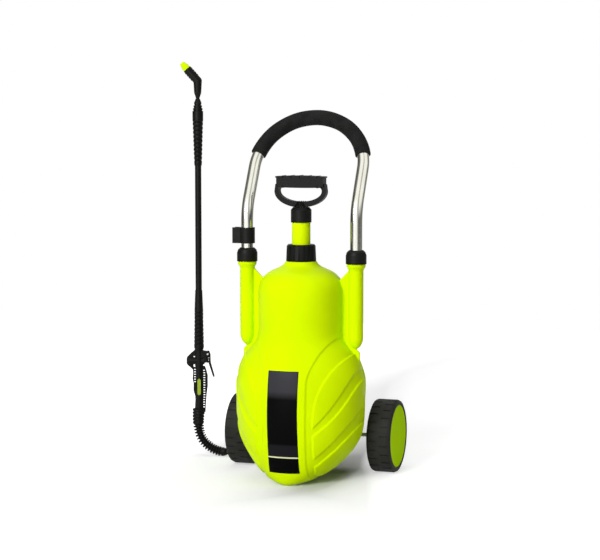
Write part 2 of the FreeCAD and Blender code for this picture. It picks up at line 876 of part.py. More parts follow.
def build_pump():
    gap = s.seat_gap
    nut_foot = s.root_level + gap
    gasket_foot = s.neck_top + gap
    flange_foot = gasket_foot + s.gasket_thickness
    flange_top = flange_foot + s.flange_thickness
    tube("neck_gasket", s.neck_radius - 0.2, s.neck_bore, gasket_foot, flange_foot - 0.1)
    inner = s.barrel_radius - s.barrel_wall
    revolved("pump_barrel", [
        (inner, s.barrel_foot), (s.barrel_radius, s.barrel_foot), (s.barrel_radius, flange_foot),
        (s.neck_radius - 0.2, flange_foot), (s.neck_radius - 0.2, flange_top),
        (s.barrel_radius, flange_top), (s.barrel_radius, s.barrel_top), (inner, s.barrel_top)])
    thread = s.neck_radius + gap
    under = flange_top + gap - nut_foot
    top = s.nut_height
    nut = revolved("pump_nut", [
        (thread, 0), (s.nut_radius, 0), (s.nut_top_radius, top - 3), (s.nut_top_radius - 2.5, top),
        (s.barrel_radius + gap, top), (s.barrel_radius + gap, under), (thread, under)], (0, 0, nut_foot))
    sketch = new_sketch(nut, "XY_Plane")
    disc(sketch, s.nut_radius + 0.3, 0, s.groove_radius)
    around(nut, cut_through(nut, sketch), sketch, s.nut_grooves)
    cap_inner = s.barrel_radius + 0.1
    ceiling = s.barrel_top + 0.2
    revolved("pump_cap", [
        (cap_inner, s.cap_foot), (s.cap_radius, s.cap_foot), (s.cap_radius, s.cap_top - 5),
        (s.cap_radius - 4.2, s.cap_top), (s.bush_radius, s.cap_top), (s.bush_radius, ceiling),
        (cap_inner, ceiling)])
    tube("rod_bush", s.bush_radius - 0.05, s.rod_radius + s.running_gap, ceiling, s.cap_top - 0.4)
    build_piston(inner)
    build_foot_valve(inner)
    build_pump_handle()


def build_piston(bore):
    """Rod, piston and the cup seal in the piston's groove."""
    low = s.piston_level
    top = low + s.piston_height
    spigot = s.rod_radius - 2
    end = s.bow_foot + 9
    revolved("pump_rod", [(0, low + 3), (spigot, low + 3), (spigot, top + 0.1), (s.rod_radius, top + 0.1),
                          (s.rod_radius, end - 1), (s.rod_radius - 1, end), (0, end)])
    outer = bore - 0.5
    root = bore - s.seal_depth - 0.6
    groove = low + (s.piston_height - s.seal_height) / 2 - 0.15
    groove_top = groove + s.seal_height + 0.3
    revolved("piston", [(0, low), (outer, low), (outer, groove), (root, groove), (root, groove_top),
                        (outer, groove_top), (outer, top), (spigot + 0.05, top),
                        (spigot + 0.05, low + 2.9), (0, low + 2.9)])
    tube("piston_seal", bore - 0.05, root + 0.1, groove + 0.15, groove_top - 0.15)


def build_foot_valve(bore):
    """Seat that closes the barrel's foot and the rubber flap under it."""
    foot = s.barrel_foot
    seat = revolved("valve_seat", [
        (3, foot - 3), (s.barrel_radius, foot - 3), (s.barrel_radius, foot - 0.1), (bore - 0.1, foot - 0.1),
        (bore - 0.1, foot + 6), (3, foot + 6)])
    sketch = new_sketch(seat, "XY_Plane")
    disc(sketch, 8.5, 0, 1.6)
    around(seat, cut_through(seat, sketch), sketch, s.seat_holes)
    revolved("check_valve", [
        (0, foot - 5.2), (13, foot - 5.2), (13, foot - 4), (4, foot - 3.2), (2.8, foot - 3.2),
        (2.8, foot + 6.3), (4.4, foot + 6.3), (2, foot + 9), (0, foot + 9)])


def build_pump_handle():
    """Bow on the rod and the bar that closes it into a D."""
    half = float(s.bow_half)
    shoulder = float(s.bow_shoulder)
    foot = float(s.bow_foot)
    arm = float(s.bow_arm)
    head = float(s.bow_head)
    floor = float(s.finger_floor)
    depth = float(s.bow_depth)

    def half_ellipse(radius, drop):
        oval = Part.Ellipse(V(radius, 0, shoulder), V(0, 0, shoulder - drop), V(0, 0, shoulder))
        return Part.ArcOfEllipse(oval, 0, math.pi).toShape()

    outside = [half_ellipse(half, shoulder - foot + 1)]
    outside += polygon([V(-half, 0, shoulder), V(-half + 2, 0, head), V(half - 2, 0, head), V(half, 0, shoulder)])
    inside = [half_ellipse(half - arm, shoulder - floor)]
    inside += polygon([V(arm - half, 0, shoulder), V(arm - half, 0, head + 1), V(half - arm, 0, head + 1),
                       V(half - arm, 0, shoulder)])
    bow = solid_prism(outside, V(0, depth, 0)).cut(solid_prism(inside, V(0, depth, 0)))
    bow.translate(V(0, -depth / 2, 0))
    floor_cut = Part.makeBox(200, 100, 20, V(-100, -50, foot - 20))
    boss = Part.makeCone(float(s.cap_radius) - 6, 9, 11, V(0, 0, foot), UP)
    bow = bow.fuse(boss).cut(floor_cut)
    hole_top = foot + 9.2
    bow = bow.cut(drum(V(0, 0, foot - 1), UP, s.rod_radius + 0.05, hole_top - foot + 1))
    seat = Part.makeBox(2 * float(s.grip_half) + 0.4, float(s.grip_depth) + 2, 20,
                        V(-float(s.grip_half) - 0.2, -float(s.grip_depth) / 2 - 1, float(s.grip_foot) - 0.2))
    shaped("pump_bow", bow.cut(seat))
    low = s.grip_foot
    top = s.grip_top
    bar = s.grip_half
    plate = bar + 2
    corner = top - s.grip_crown
    padded("pump_grip", [
        (-bar, low), (bar, low), (bar, top - 5), (plate, top - 4.5), (plate, corner),
        (bar * 0.5, top - 0.4), (0, top), (-bar * 0.5, top - 0.4), (-plate, corner),
        (-plate, top - 4.5), (-bar, top - 5)], s.grip_depth)


# Relief valve on the rear shoulder

def build_relief_valve():
    level = s.relief_boss_top
    at = (0, s.relief_back, level)
    bore = 3
    revolved("relief_body", [
        (bore, -14), (s.relief_bore - 0.1, -14), (s.relief_bore - 0.1, 0.1), (8.5, 0.1), (8.5, 7),
        (6.6, 9), (6.6, 17), (1.68, 17), (1.68, 15), (5, 15), (5, 4), (bore, 4)], at)
    revolved("relief_knob", [
        (0, -13), (bore - 0.08, -13), (bore - 0.08, 4.2), (4.6, 4.2), (4.6, 5.4), (1.6, 5.4),
        (1.6, 17.4), (7, 17.4), (7.4, 18.4), (7.4, 24), (6, 26), (0, 26)], at)
    coil_spring("relief_spring", 3.6, 0.4, 5.5, 14.9, 3, at)


def coil_spring(name, radius, wire, low, high, turns, at, turn=None):
    """Compression spring: one round wire wound about the body's own axis."""
    rise = (high - low - 2 * wire) / turns
    around_once = 2 * math.pi

    def point(at_turn):
        angle = around_once * at_turn
        return V(radius * math.cos(angle), radius * math.sin(angle), low + wire + rise * at_turn)

    def heading(at_turn):
        angle = around_once * at_turn
        return V(-around_once * radius * math.sin(angle), around_once * radius * math.cos(angle), rise).normalize()

    shaped(name, pipe(Part.Wire(wound(point, heading, turns)), wire), at, turn)


# Outlet at the rear

def build_outlet():
    """Elbow through the tank wall, its nut and seal, and the suction line inside."""
    side = s.outlet_side
    level = s.outlet_level
    end = s.outlet_boss_end
    backward = turned(RIGHT, -90)
    at = (side, end, level)
    tube("outlet_seal", s.outlet_boss_radius - 0.5, s.outlet_bore, 0, 1.5, at, backward)
    leg = 24
    drop = 27.5
    radius = 7.5
    tail = float(s.outlet_bore) - 0.15
    elbow = drum(V(0, 0, -16), UP, tail, 16 + leg)
    elbow = elbow.fuse(drum(V(0, 0, 1.6), UP, float(s.outlet_boss_radius) - 0.6, 3))
    elbow = elbow.fuse(drum(V(0, 0, 4), UP, radius, leg - 4))
    elbow = elbow.fuse(Part.makeSphere(radius, V(0, 0, leg)))
    elbow = elbow.fuse(drum(V(0, 0, leg), BACK, radius, drop))
    bore = 3.2
    elbow = elbow.cut(drum(V(0, 0, -17), UP, bore, 17 + leg))
    elbow = elbow.cut(drum(V(0, 0, leg), BACK, bore, drop + 1))
    shaped("outlet_elbow", elbow, at, backward)
    skirt = s.outlet_boss_radius
    tube_profile = [(skirt + 0.2, -9), (skirt + 3, -9), (skirt + 3, 6.5), (skirt + 2, 7.5),
                    (radius + 0.2, 7.5), (radius + 0.2, 4.9), (skirt + 0.2, 4.9)]
    revolved("outlet_nut", tube_profile, at, backward)
    hose_end = level - drop
    revolved("hose_nut", [
        (s.hose_radius + 0.2, -16), (9, -16), (10.2, -14), (10.2, 5), (9, 7), (radius + 0.2, 7),
        (radius + 0.2, -0.6), (s.hose_radius + 0.2, -0.6)], (side, end + leg, hose_end))
    inside = [V(float(side), float(end) - 16.9, float(level)), V(float(side), float(end) - 34, float(level) - 3),
              V(float(side) - 4, float(end) - 46, float(level) - 28), V(float(side) - 16, 46, 84),
              V(10, 14, 48), V(2, -12, 26)]
    wire = route_wire(inside)
    shaped("dip_tube", pipe(wire, 4.5).cut(pipe(wire, 3)))
    heading = (inside[-1] - inside[-2]).normalize()
    tip = inside[-1] + heading * 0.2
    revolved("suction_strainer", [(3.1, 0), (6.5, 0), (6.5, 16), (5, 18), (0, 18), (0, 15.5), (3.1, 15.5)],
             (tip.x, tip.y, tip.z), FreeCAD.Rotation(UP, heading))


# Lance

def lance_turn():
    return turned(UP, s.lance_yaw)


def at_lance(level, along=0):
    """A point on the lance's own plane: its level and its distance along the plane."""
    return (s.lance_x + cosine(s.lance_yaw) * along, s.lance_y + sine(s.lance_yaw) * along, level)


def lying():
    """Turn that lays a body's axis along the lance's plane, away from the knob."""
    return lance_turn().multiply(turned(BACK, 90))


def ringed_cone(low, high, low_radius, high_radius, rings_count, depth):
    """Outer corners of a taper with evenly spaced shallow rings."""
    corners = [(low_radius, low)]
    pitch = (high - low) / rings_count
    slope = (high_radius - low_radius) / rings_count
    for i in range(rings_count):
        start = low + pitch * i
        radius = low_radius + slope * (i + 0.5)
        corners += [(radius, start + pitch * 0.25), (radius, start + pitch * 0.7),
                    (radius - depth, start + pitch * 0.8)]
    corners.append((high_radius, high))
    return corners


def build_lance_rod():
    low = s.valve_top + 0.1
    bore = s.lance_tube_radius + 0.1
    ribbed = low + 84
    corners = ringed_cone(low + 6, ribbed, s.lower_sleeve_radius, s.lower_sleeve_radius - 1.4, 9, 0.8)
    top = s.lower_sleeve_top
    lower = [(bore, low), (s.lower_sleeve_radius - 1.5, low)] + corners
    lower += [(bore + 0.7, top), (bore, top)]
    revolved("lance_sleeve", lower, at_lance(0), lance_turn())
    tube("lance_tube", s.lance_tube_radius, s.lance_tube_bore, low, s.upper_sleeve_wide, at_lance(0), lance_turn())
    foot = s.upper_sleeve_foot
    wide = s.upper_sleeve_wide
    radius = s.upper_sleeve_radius
    corners = ringed_cone(foot + 4, wide - 8, bore + 1.3, radius - 0.3, 10, 1)
    neck = s.swivel_level - 1
    head = [(radius, wide - 6), (radius, wide + 14)]
    for step, narrower in ((14.5, 0), (20.5, 1.2), (26.5, 2.4)):
        outer = radius - narrower
        head += [(outer - 2, wide + step), (outer - 2, wide + step + 1.6),
                 (outer - 1.2, wide + step + 2), (outer - 1.2, wide + step + 5.5)]
    head += [(s.swivel_radius + 0.6, neck), (s.stub_radius + s.running_gap, neck)]
    upper = [(bore, foot), (bore + 0.6, foot)] + corners + head
    upper += [(s.stub_radius + s.running_gap, wide + 0.5), (bore, wide + 0.5)]
    revolved("lance_head", upper, at_lance(0), lance_turn())


def build_nozzle():
    """Swivelling elbow, its adjustable tip and the swirl insert between them."""
    low = float(s.swivel_level)
    level = float(s.elbow_level)
    radius = float(s.elbow_radius)
    angle = math.radians(float(s.nozzle_angle))
    axis = V(-math.sin(angle), 0, math.cos(angle))
    corner = V(0, 0, level)
    neck = Part.makeCone(float(s.swivel_radius), radius - 1.5, 12, V(0, 0, low - 0.7), UP)
    lower = Part.makeCone(radius - 1.5, radius, level - low - 11.3, V(0, 0, low + 11.3), UP)
    arm = drum(corner, axis, radius, s.nozzle_arm)
    elbow = neck.fuse(lower).fuse(Part.makeSphere(radius, corner)).fuse(arm)
    for step in (9, 15, 21, 27):
        elbow = elbow.fuse(drum(corner + axis * step, axis, radius + 0.8, 3))
    elbow = elbow.fuse(drum(corner, axis, 4.5, float(s.nozzle_arm) + 6))
    insert = 12
    elbow = elbow.fuse(drum(V(0, 0, low - insert), UP, s.stub_radius, insert))
    bore = 1.6
    elbow = elbow.cut(drum(corner, axis, bore, float(s.nozzle_arm) + 8))
    elbow = elbow.cut(drum(V(0, 0, low - insert - 1), UP, bore, level - low + insert + 1))
    shaped("nozzle_elbow", elbow, at_lance(0), lance_turn())
    tip_turn = lance_turn().multiply(turned(BACK, -float(s.nozzle_angle)))
    out = s.nozzle_arm + s.seat_gap
    start = (s.lance_x - cosine(s.lance_yaw) * sine(s.nozzle_angle) * out,
             s.lance_y - sine(s.lance_yaw) * sine(s.nozzle_angle) * out,
             s.elbow_level + cosine(s.nozzle_angle) * out)
    length = s.nozzle_tip_length
    revolved("nozzle_tip", [
        (4.5 + s.running_gap, 0), (8.4, 0), (8, length * 0.35), (5.2, length - 1.6), (3.6, length),
        (0.8, length), (0.8, length - 3), (3, length - 3), (3, 9.6), (4.5 + s.running_gap, 9.6)],
        start, tip_turn)
    revolved("swirl_insert", [(0, 6.2), (2.9, 6.2), (2.9, length - 3.2), (0, length - 3.2)], start, tip_turn)


def build_valve():
    """Trigger valve: flow body, spindle, spring and the cap over the spring."""
    level = float(s.valve_level)
    low = float(s.valve_foot)
    top = float(s.valve_top)
    reach = float(s.valve_reach)
    stem_bore = float(s.pin_radius) + float(s.running_gap)
    body = drum(V(0, 0, low), UP, s.valve_core, top - low)
    body = body.fuse(drum(V(-reach, 0, level), RIGHT, s.valve_barrel, 2 * reach - 2))
    side = float(s.trigger_side)
    pivot = float(s.trigger_level)
    inner_face = float(s.trigger_depth) / 2 + 0.4
    for start in (-inner_face - 3, inner_face):
        corners = [(2, pivot - 9), (side, pivot - 5), (side + 4, pivot - 3.5), (side + 5, pivot),
                   (side + 4, pivot + 3.5), (side, pivot + 5), (2, pivot + 8)]
        points = [V(x, start, z) for x, z in corners]
        cheek = solid_prism(polygon(points + points[:1]), V(0, 3, 0))
        body = body.fuse(cheek.cut(drum(V(side, -20, pivot), BACK, s.pin_radius + 0.05, 40)))
    body = body.cut(drum(V(-reach - 1, 0, level), RIGHT, 5, reach + 5))
    body = body.cut(drum(V(0, 0, level), RIGHT, stem_bore, reach + 1))
    body = body.cut(drum(V(0, 0, low - 1), UP, 3, top - low + 2))
    shaped("valve_body", body.removeSplitter(), at_lance(0), lance_turn())
    cap = s.cap_length
    revolved("valve_cap", [
        (0, -cap), (s.valve_barrel - 1.2, -cap), (s.valve_barrel, -cap + 1.2), (s.valve_barrel, -0.1),
        (4.9, -0.1), (4.9, -cap + 3), (0, -cap + 3)], at_lance(s.valve_level, -s.valve_reach), lying())
    reach_out = s.trigger_side - 2.6 - s.seat_gap
    revolved("valve_spindle", [
        (0, -6.5), (4.2, -6.5), (4.2, -3.5), (s.pin_radius, -2.5), (s.pin_radius, reach_out),
        (0, reach_out)], at_lance(s.valve_level), lying())
    coil_spring("valve_spring", 3.5, 0.5, -(float(s.valve_reach) + float(cap) - 3.2), -6.8, 5,
                at_lance(s.valve_level), lying())


def build_trigger():
    """Lever on its pin beside the valve, with its finger blade hanging beside the grip."""
    side = float(s.trigger_side)
    foot = float(s.trigger_foot)
    reach = float(s.trigger_reach)
    level = float(s.trigger_level)
    depth = float(s.trigger_depth)
    points = [V(x, -depth / 2, z) for x, z in (
        (side - 3.5, level - 4), (side - 3.5, level + 4), (side - 1, level + 6.5), (side + 3, level + 6.5),
        (side + 6, level - 1), (side + 6.5, level - 19), (reach + 2, foot + 1), (reach, foot),
        (reach - 2, foot + 2), (side + 1.5, level - 19), (side - 2.6, level - 20), (side - 2.6, level - 10))]
    lever = solid_prism(polygon(points + points[:1]), V(0, depth, 0))
    lever = lever.cut(drum(V(side, -depth, level), BACK, s.pin_radius + s.running_gap, 2 * depth))
    for x, z in ((side + 2, level - 9), (side + 2, level - 14)):
        lever = lever.cut(drum(V(x, -depth, z), BACK, 1.2, 2 * depth))
    shaped("trigger", lever, at_lance(0), lance_turn())
    pin = drum(V(side, -depth / 2 - 3.4, level), BACK, s.pin_radius, depth + 6.8)
    shaped("trigger_pin", pin, at_lance(0), lance_turn())


def build_grip():
    """Hand grip: round shank with a thin lattice wing on each side and the pivot cheeks."""
    low = float(s.shank_foot)
    radius = float(s.shank_radius)
    depth = float(s.wing_depth)
    top = float(s.valve_foot) - 0.1
    grip = drum(V(0, 0, low), UP, radius, top - low)
    right = [(5, low + 2), (13.5, low + 2), (14.5, 112), (16, 132), (18.7, 152), (18.7, 176), (15, 190),
             (12.5, top), (5, top)]
    left = [(-5, low + 2), (-10, low + 4), (-8.6, 122), (-9, 130), (-12.5, 142), (-12.2, 158), (-14.4, 168),
            (-13.2, 182), (-14.4, 194), (-5, 194)]
    for edge in (right, left):
        points = [V(x, -depth / 2, z) for x, z in edge]
        grip = grip.fuse(solid_prism(polygon(points + points[:1]), V(0, depth, 0)))
    wide = float(s.window_width)
    tall = float(s.window_height)
    pitch = float(s.window_pitch)

    def window(x, z):
        return Part.makeBox(wide, 2 * depth, tall, V(x, -depth, z))

    windows = [window(9.2 if 125 < 104 + pitch * i < 180 else 8.6, 104 + pitch * i) for i in range(16)]
    windows += [window(-12.2 + (wide - 3), 160 + pitch * i) for i in range(6)]
    grip = grip.cut(Part.makeCompound(windows))
    grip = grip.cut(drum(V(0, 0, low - 1), UP, s.hose_radius + 0.2, 20))
    grip = grip.cut(drum(V(0, 0, low), UP, 3, 120))
    shaped("grip_frame", grip.removeSplitter(), at_lance(0), lance_turn())


def build_badge():
    """Plain rounded plate let into the shank on the side that faces out."""
    half = float(s.badge_width) / 2
    length = float(s.badge_length)
    flat = Part.makeBox(2 * half, 3, length - 2 * half, V(-half, -float(s.shank_radius) - 0.9, 133 + half))
    ends = [drum(V(0, -float(s.shank_radius) - 0.9, 133 + half + step), BACK, half, 3)
            for step in (0, length - 2 * half)]
    plate = flat.fuse(ends[0]).fuse(ends[1])
    plate = plate.cut(drum(V(0, 0, 100), UP, float(s.shank_radius) + 0.05, 100))
    shaped("grip_badge", plate.removeSplitter(), at_lance(0), lance_turn())


# Hose

def bend_point(along, level, off=0):
    """A point of the row frame from the plane in which the hose curves to the floor."""
    yaw = math.radians(float(s.bend_yaw))
    return V(float(s.lance_x) + along * math.cos(yaw) - off * math.sin(yaw),
             float(s.lance_y) + along * math.sin(yaw) + off * math.cos(yaw), level)


def sleeve_points():
    """Where the hose leaves the grip and curves to the floor."""
    return [bend_point(0, 94), bend_point(0, 61.5), bend_point(15.5, 32), bend_point(43, 15),
            bend_point(77, 11.2)]


def tail_points():
    """Hose from the grip to the coil, along the floor behind the left wheel."""
    floor = float(s.hose_radius) + 0.1
    start = coil_end(0)
    return sleeve_points() + [V(-186, 161.4, 7.6), V(-163, 161.3, floor), V(-140, 158.5, floor),
                              V(-120, 154, floor), V(-102, 150.6, floor),
                              start - V(2 * float(s.hose_radius) + 1, 0, 0)]


def build_sleeve():
    """Finned strain relief round the hose, as one ruled loft of rings along its curve."""
    wire = route_wire(sleeve_points())
    edges = wire.Edges
    ribs = int(float(s.sleeve_ribs))
    side_axis = bend_point(0, 0, 1) - bend_point(0, 0, 0)

    def ring(distance, radius):
        for edge in edges:
            if distance <= edge.Length or edge is edges[-1]:
                break
            distance -= edge.Length
        parameter = edge.getParameterByLength(distance)
        centre = edge.valueAt(parameter)
        heading = edge.tangentAt(parameter)
        circle = Part.Circle(centre, heading, radius)
        circle.XAxis = side_axis
        return Part.Wire(circle.toShape())

    core = float(s.sleeve_core)
    pitch = float(s.sleeve_length) / ribs
    taper = (float(s.sleeve_fin) - float(s.sleeve_fin_end)) / (ribs - 1)
    rings_list = []
    for i in range(ribs):
        start = 2.6 + pitch * i
        fin = float(s.sleeve_fin) - taper * i
        for share, radius in ((0, core), (0.08, fin), (0.36, fin), (0.44, core)):
            rings_list.append(ring(start + pitch * share, radius))
    solid = Part.makeLoft(rings_list, True, True)
    shaped("strain_relief", solid.cut(pipe(wire, s.hose_radius + 0.2)))


def coil_end(layer):
    """Where the coil's tube ends: the first layer's start or the second layer's end."""
    outer = float(s.coil_radius) + float(s.coil_pitch)
    floor = float(s.hose_radius) + 0.1
    return V(float(s.coil_x), float(s.coil_y) - outer, floor + layer * float(s.coil_pitch))


def coil_point(turn):
    """Centre of the tube after so many turns: inwards on the floor, up, and outwards on top."""
    half = float(s.coil_turns) / 2
    outer = float(s.coil_radius) + float(s.coil_pitch)
    pitch = float(s.coil_pitch)
    radius = outer - pitch * (half - abs(turn - half))
    climb = min(max((turn - half) * 2 + 0.5, 0), 1)
    level = float(s.hose_radius) + 0.1 + pitch * climb * climb * (3 - 2 * climb)
    angle = 2 * math.pi * turn - math.pi / 2
    return V(float(s.coil_x) + radius * math.cos(angle), float(s.coil_y) + radius * math.sin(angle), level)


def coil_heading(turn):
    if turn <= 0 or turn >= float(s.coil_turns):
        return V(1, 0, 0)
    step = 0.001
    return (coil_point(turn + step) - coil_point(turn - step)).normalize()


def build_coil():
    """Put-away hose: two layers of turns as one unbroken tube."""
    turns = float(s.coil_turns)
    straight = 2 * float(s.hose_radius)
    edges = [Part.LineSegment(coil_point(0) - V(straight, 0, 0), coil_point(0)).toShape()]
    edges += wound(coil_point, coil_heading, turns)
    edges.append(Part.LineSegment(coil_point(turns), coil_point(turns) + V(straight, 0, 0)).toShape())
    wire = Part.Wire(edges)
    solid = pipe(wire, s.hose_radius)
    shaped("hose_coil", solid)
    report_hose("hose_coil", solid, wire)
    steps = 40
    samples = [coil_point(i / steps) for i in range(int(turns * steps) + 1)]
    apart = min(a.distanceToPoint(b) for i, a in enumerate(samples) for b in samples[i + steps // 2:])
    print("least gap of the coil to itself %.2f mm" % (apart - 2 * float(s.hose_radius)))


def lead_points():
    """Hose from the coil's end up to the outlet."""
    straight = 2 * float(s.hose_radius)
    start = coil_end(1) + V(straight, 0, 0)
    side = float(s.outlet_side)
    back = float(s.outlet_boss_end) + 24
    top = float(s.outlet_level) - 27.5
    return [start + V(1, 0, 0), V(side - 74, 150, 18.2), V(side - 46.5, 149, 29), V(side - 22, 144.5, 50),
            V(side - 6, 138, 77), V(side, back, 107), V(side, back, top)]


def build_hose():
    for name, points in (("hose_tail", tail_points()), ("hose_lead", lead_points())):
        wire = route_wire(points)
        solid = pipe(wire, s.hose_radius)
        shaped(name, solid)
        report_hose(name, solid, wire)


# Whole cart

def check_and_write():
    doc.recompute()
    faults = [thing.Label for thing in doc.Objects if set(thing.State) & {"Invalid", "Error"}]
    pieces = [thing for thing in doc.Objects
              if thing.TypeId in ("PartDesign::Body", "Part::Feature")]
    for piece in pieces:
        if piece.Shape.isNull() or not piece.Shape.isValid() or not piece.Shape.Solids:
            faults.append(piece.Label)
    if faults:
        raise RuntimeError("not sound: " + ", ".join(faults))
    os.makedirs("parts", exist_ok=True)
    for piece in pieces:
        piece.Shape.exportStep("parts/%s.step" % piece.Label)
    print(len(pieces), "pieces written")


build_tank()
build_wheels()
build_handle()
build_lance_clip()
build_collars()
build_pump()
build_relief_valve()
build_outlet()
build_lance_rod()
build_nozzle()
build_valve()
build_trigger()
build_grip()
build_badge()
build_sleeve()
build_coil()
build_hose()
check_and_write()
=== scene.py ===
import bpy
import json
import math
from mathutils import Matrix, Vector
from mathutils.bvhtree import BVHTree


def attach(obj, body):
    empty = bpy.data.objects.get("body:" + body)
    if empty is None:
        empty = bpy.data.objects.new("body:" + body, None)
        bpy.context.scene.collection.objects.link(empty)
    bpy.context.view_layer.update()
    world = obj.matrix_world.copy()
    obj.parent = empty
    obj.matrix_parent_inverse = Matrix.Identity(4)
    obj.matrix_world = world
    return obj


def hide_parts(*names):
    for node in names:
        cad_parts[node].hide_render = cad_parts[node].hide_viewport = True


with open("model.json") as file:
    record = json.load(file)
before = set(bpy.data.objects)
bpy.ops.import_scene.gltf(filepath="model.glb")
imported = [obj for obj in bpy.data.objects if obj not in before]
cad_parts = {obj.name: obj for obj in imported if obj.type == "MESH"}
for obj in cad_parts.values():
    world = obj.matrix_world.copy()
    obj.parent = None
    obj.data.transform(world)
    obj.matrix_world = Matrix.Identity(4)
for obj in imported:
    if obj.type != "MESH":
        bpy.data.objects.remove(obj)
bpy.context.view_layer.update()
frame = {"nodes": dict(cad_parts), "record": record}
NODES = frame["nodes"]
MM = 0.001


# Node graphs

# places of the colour sockets on a Mix node
MIX_SHARE = 0
MIX_FIRST = 6
MIX_SECOND = 7
MIX_COLOR = 2
# the part of a noise's range that most of its points fall in
GRAIN_SPAN = (0.3, 0.7)


def rgba(color):
    """Four channels from a colour of three or from one grey tone."""
    if isinstance(color, (int, float)):
        color = (color,) * 3
    return (*color, 1)


class Graph:
    """Short calls that make and join the nodes of one tree; values pass between them as output sockets."""

    def __init__(self, tree):
        self.tree = tree
        tree.nodes.clear()
        self.coords = self.add("ShaderNodeTexCoord")

    def add(self, kind, values=None):
        node = self.tree.nodes.new(kind)
        for name, value in (values or {}).items():
            node.inputs[name].default_value = value
        return node

    def wire(self, output, node, name):
        self.tree.links.new(output, node.inputs[name])

    def math(self, operation, *operands):
        """One sum; each operand is a number or an output socket."""
        node = self.add("ShaderNodeMath")
        node.operation = operation
        for place, operand in enumerate(operands):
            if isinstance(operand, (int, float)):
                node.inputs[place].default_value = operand
            else:
                self.wire(operand, node, place)
        return node.outputs[0]

    def largest(self, first, *others):
        for other in others:
            first = self.math("MAXIMUM", first, other)
        return first

    def between(self, value, span, result=(0, 1), clamp=True):
        """Runs over result while value runs over span."""
        node = self.add("ShaderNodeMapRange", {"From Min": span[0], "From Max": span[1],
                                               "To Min": result[0], "To Max": result[1]})
        node.clamp = clamp
        self.wire(value, node, "Value")
        return node.outputs["Result"]

    def ramp(self, value, stops):
        """Colour that follows value through stops, each a place and its colour or tone."""
        node = self.add("ShaderNodeValToRGB")
        self.wire(value, node, "Fac")
        first, last = node.color_ramp.elements
        first.position, first.color = stops[0][0], rgba(stops[0][1])
        last.position, last.color = stops[-1][0], rgba(stops[-1][1])
        for position, color in stops[1:-1]:
            node.color_ramp.elements.new(position).color = rgba(color)
        return node.outputs["Color"]

    def mix(self, share, first, second):
        """Colour from first to second; first may be a fixed colour."""
        node = self.add("ShaderNodeMix")
        node.data_type = "RGBA"
        self.wire(share, node, MIX_SHARE)
        if isinstance(first, tuple):
            node.inputs[MIX_FIRST].default_value = first
        else:
            self.wire(first, node, MIX_FIRST)
        self.wire(second, node, MIX_SECOND)
        return node.outputs[MIX_COLOR]

    def mix_shaders(self, share, first, second):
        node = self.add("ShaderNodeMixShader")
        self.wire(share, node, 0)
        self.wire(first, node, 1)
        self.wire(second, node, 2)
        return node.outputs["Shader"]

    def axes(self, kind="Object"):
        """Node whose outputs are the X, Y and Z of a point."""
        split = self.add("ShaderNodeSeparateXYZ")
        self.wire(self.coords.outputs[kind], split, "Vector")
        return split.outputs

    def light_path(self):
        return self.add("ShaderNodeLightPath").outputs

    def seen_directly(self, path):
        """1 for rays from the camera, from gloss or through glass, and 0 for diffuse light."""
        return self.largest(path["Is Camera Ray"], path["Is Glossy Ray"], path["Is Transmission Ray"])


class Shader(Graph):
    """A material on one Principled surface."""

    def __init__(self, name, rough=0.5, metal=0.0, specular=0.5):
        self.material = bpy.data.materials.new(name)
        self.material.use_nodes = True
        super().__init__(self.material.node_tree)
        self.surface = self.add("ShaderNodeBsdfPrincipled", {"Roughness": rough, "Metallic": metal,
                                                             "Specular IOR Level": specular})
        self.wire(self.surface.outputs["BSDF"], self.add("ShaderNodeOutputMaterial"), "Surface")

    def give(self, output, name):
        self.wire(output, self.surface, name)

    def noise(self, scale, detail, stretch=None):
        node = self.add("ShaderNodeTexNoise", {"Scale": scale, "Detail": detail})
        place = self.coords.outputs["Object"]
        if stretch:
            mapping = self.add("ShaderNodeMapping", {"Scale": stretch})
            self.wire(place, mapping, "Vector")
            place = mapping.outputs["Vector"]
        self.wire(place, node, "Vector")
        return node.outputs["Fac"]

    def tint(self, low, dark, high, light, scale, detail):
        """Base colour that drifts between two tones in clouds."""
        cloud = self.noise(scale, detail)
        color = self.ramp(cloud, ((low, dark), (high, light)))
        self.give(color, "Base Color")
        return color

    def roughness(self, grain, smooth, rough):
        self.give(self.between(grain, GRAIN_SPAN, (smooth, rough)), "Roughness")

    def bump(self, height, strength, distance, after=None):
        node = self.add("ShaderNodeBump", {"Strength": strength, "Distance": distance})
        self.wire(height, node, "Height")
        if after:
            self.wire(after, node, "Normal")
        self.give(node.outputs["Normal"], "Normal")
        return node.outputs["Normal"]


def shaded(color, share):
    return tuple(channel * share for channel in color)


# Materials

def lime_plastic(name, color, rough=0.4, specular=0.05):
    """Blow-moulded or injected polyethylene: soft gloss, faint flow marks and a fine skin."""
    shader = Shader(name, rough, specular=specular)
    shader.surface.inputs["Specular Tint"].default_value = (0.75, 1.0, 0.0, 1)
    shader.tint(0.3, shaded(color, 0.9), 0.7, color, scale=9, detail=4)
    fine = shader.noise(scale=260, detail=3)
    shader.roughness(fine, rough - 0.05, rough + 0.07)
    skin = shader.bump(fine, strength=0.12, distance=0.0004)
    shader.bump(shader.noise(scale=34, detail=2), strength=0.05, distance=0.004, after=skin)
    return shader.material


def black_plastic(name, color=(0.0055, 0.0055, 0.0052), rough=0.42, ribs=None):
    """Matte moulded plastic with a fine grain, slightly greyer clouds and painted shade between its ribs."""
    shader = Shader(name, rough, specular=0.1)
    tint = shader.tint(0.35, shaded(color, 0.8), 0.7, shaded(color, 1.35), scale=30, detail=4)
    if ribs:
        # painted shade: nearly black in the grooves between the ribs
        shader.give(shader.mix(ribs(shader), rgba(0.0004), tint), "Base Color")
    fine = shader.noise(scale=900, detail=2)
    shader.roughness(fine, rough - 0.06, rough + 0.1)
    shader.bump(fine, strength=0.25, distance=0.0003)
    return shader.material


